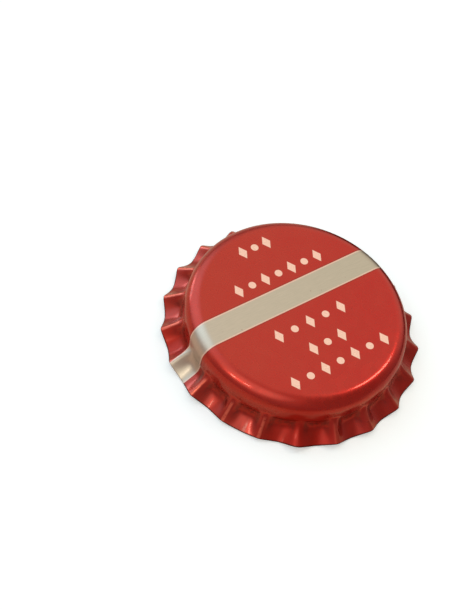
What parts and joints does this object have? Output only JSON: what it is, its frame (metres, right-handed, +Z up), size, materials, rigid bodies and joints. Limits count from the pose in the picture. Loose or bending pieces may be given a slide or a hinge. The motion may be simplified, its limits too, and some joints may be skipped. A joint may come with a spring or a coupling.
{
  "type": "bottle cap",
  "caption": "Round pry-off crown cap: a fluted pressed tinplate shell with a moulded sealing liner inside, which closes a glass bottle's mouth.",
  "frame": {"origin": "centre of the cap, on the plane that the foot of the skirt stands on", "axes": "+Z up along the cap's axis, out of the flat panel; +X through a flute tip"},
  "size_m": [0.0319, 0.032, 0.006],
  "materials": {
    "lacquered_tinplate": "gloss red lacquer over tinplate, with a bare satin stripe and a gold lacquered inside",
    "liner_compound": "satin cream sealing compound"
  },
  "bodies": {
    "root": {"crown_shell": "lacquered_tinplate", "sealing_liner": "liner_compound"}
  },
  "joints": []
}
